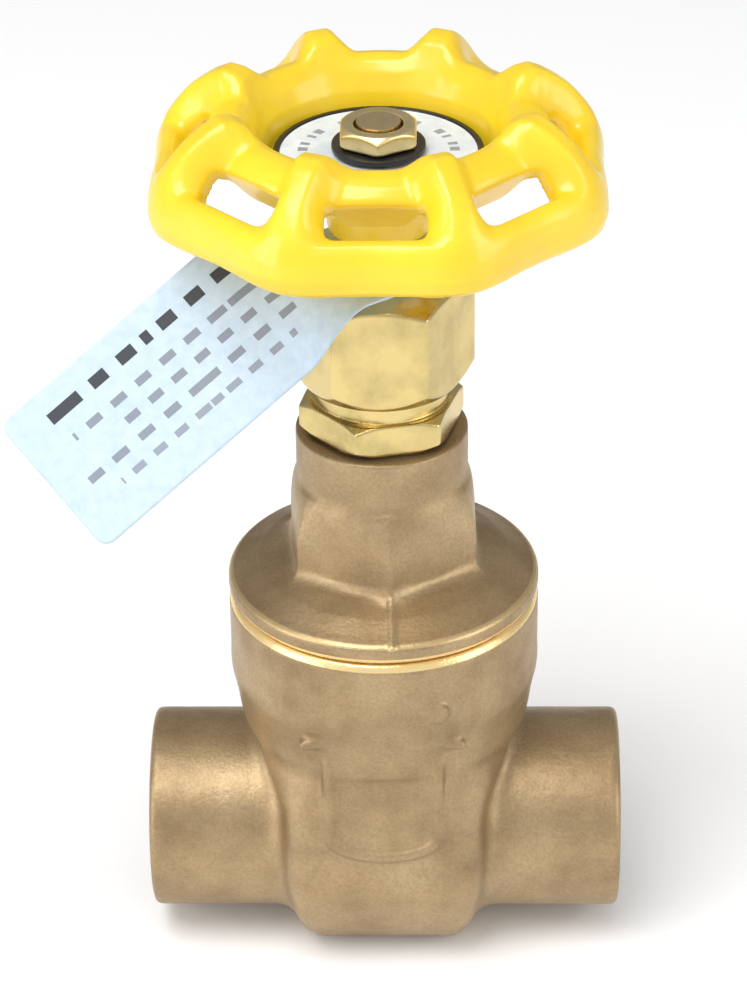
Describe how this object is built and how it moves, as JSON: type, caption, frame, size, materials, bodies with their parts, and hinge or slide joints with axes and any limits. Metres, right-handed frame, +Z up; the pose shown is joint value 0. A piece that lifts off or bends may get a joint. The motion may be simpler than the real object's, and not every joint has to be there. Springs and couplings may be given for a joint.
{
  "type": "gate valve",
  "caption": "Bronze solder-end gate valve with a screw-in bonnet, non-rising stem, packing nut, knuckled yellow handwheel and paper hang tag.",
  "frame": {"origin": "centre of the flat foot under the body, which the valve stands on", "axes": "+Z up along the stem, +X along the flow axis, -Y towards the front with a window of the wheel facing it"},
  "size_m": [0.0769, 0.055, 0.1203],
  "materials": {
    "cast_bronze": "sand-cast bronze, satin and finely pitted",
    "stem_bronze": "turned bronze",
    "machined_brass": "machined and polished brass",
    "nut_brass": "satin brass",
    "yellow_paint": "glossy yellow enamel",
    "plate_white": "white printed plate",
    "washer_black": "black oxide",
    "packing": "matt graphited packing",
    "tag_paper": "pale coated paper"
  },
  "bodies": {
    "housing": {"body": "cast_bronze", "bonnet": "cast_bronze", "stuffing_box": "machined_brass", "packing_ring_lower": "packing", "packing_ring_middle": "packing", "packing_ring_upper": "packing", "packing_gland": "machined_brass", "packing_nut": "machined_brass"},
    "spindle": {"stem": "stem_bronze", "handwheel": "yellow_paint", "nameplate": "plate_white", "wheel_washer": "washer_black", "wheel_nut": "nut_brass"},
    "wedge": {"wedge": "cast_bronze"},
    "tag": {"hang_tag": "tag_paper"}
  },
  "joints": [
    {"name": "handwheel_turn", "type": "hinge", "parent": "housing", "child": "spindle", "pos_m": [0, 0, 0.1], "axis": [0, 0, 1], "range_deg": [0, 2080]},
    {"name": "wedge_lift", "type": "slide", "parent": "housing", "child": "wedge", "axis": [0, 0, 1], "range_m": [0, 0.0208]},
    {"name": "tag_swivel", "type": "hinge", "parent": "housing", "child": "tag", "pos_m": [0, 0, 0.098], "axis": [0, 0, 1], "continuous": true}
  ],
  "couplings": [
    {"joint": "wedge_lift", "follows": "handwheel_turn", "m_per_rad": 0.00057295}
  ]
}
